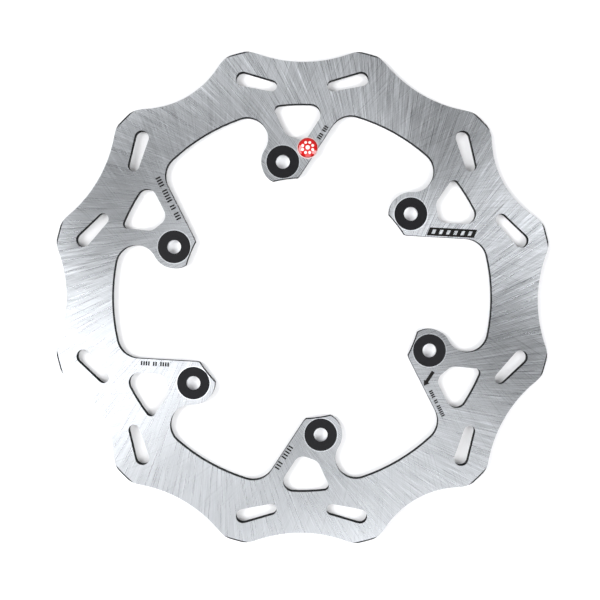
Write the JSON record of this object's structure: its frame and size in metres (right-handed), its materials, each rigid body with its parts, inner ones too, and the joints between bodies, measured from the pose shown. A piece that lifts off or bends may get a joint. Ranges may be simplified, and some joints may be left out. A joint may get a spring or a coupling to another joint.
{
  "type": "motorcycle brake disc",
  "caption": "One-piece wave-edged motorcycle brake disc: ground steel rotor with swept lugs, bolt holes, black seat rings, slots and a domed red badge.",
  "frame": {"origin": "centre of the disc on its back face, the face that seats on the wheel hub", "axes": "+Z along the wheel's axle, out of the front (outboard) face; +X through a valley of the wavy rim, with the next deep valley 30 degrees on towards +Y"},
  "size_m": [0.2336, 0.2336, 0.0058],
  "materials": {
    "ground_steel": "ground",
    "black_oxide": "satin",
    "badge_print": "gloss",
    "badge_resin": "gloss",
    "etched_black": "matte"
  },
  "bodies": {
    "root": {"brake_disc": "ground_steel", "seat_ring_1": "black_oxide", "seat_ring_2": "black_oxide", "seat_ring_3": "black_oxide", "seat_ring_4": "black_oxide", "seat_ring_5": "black_oxide", "seat_ring_6": "black_oxide", "badge_foil": "badge_print", "badge_dome": "badge_resin"}
  },
  "joints": []
}
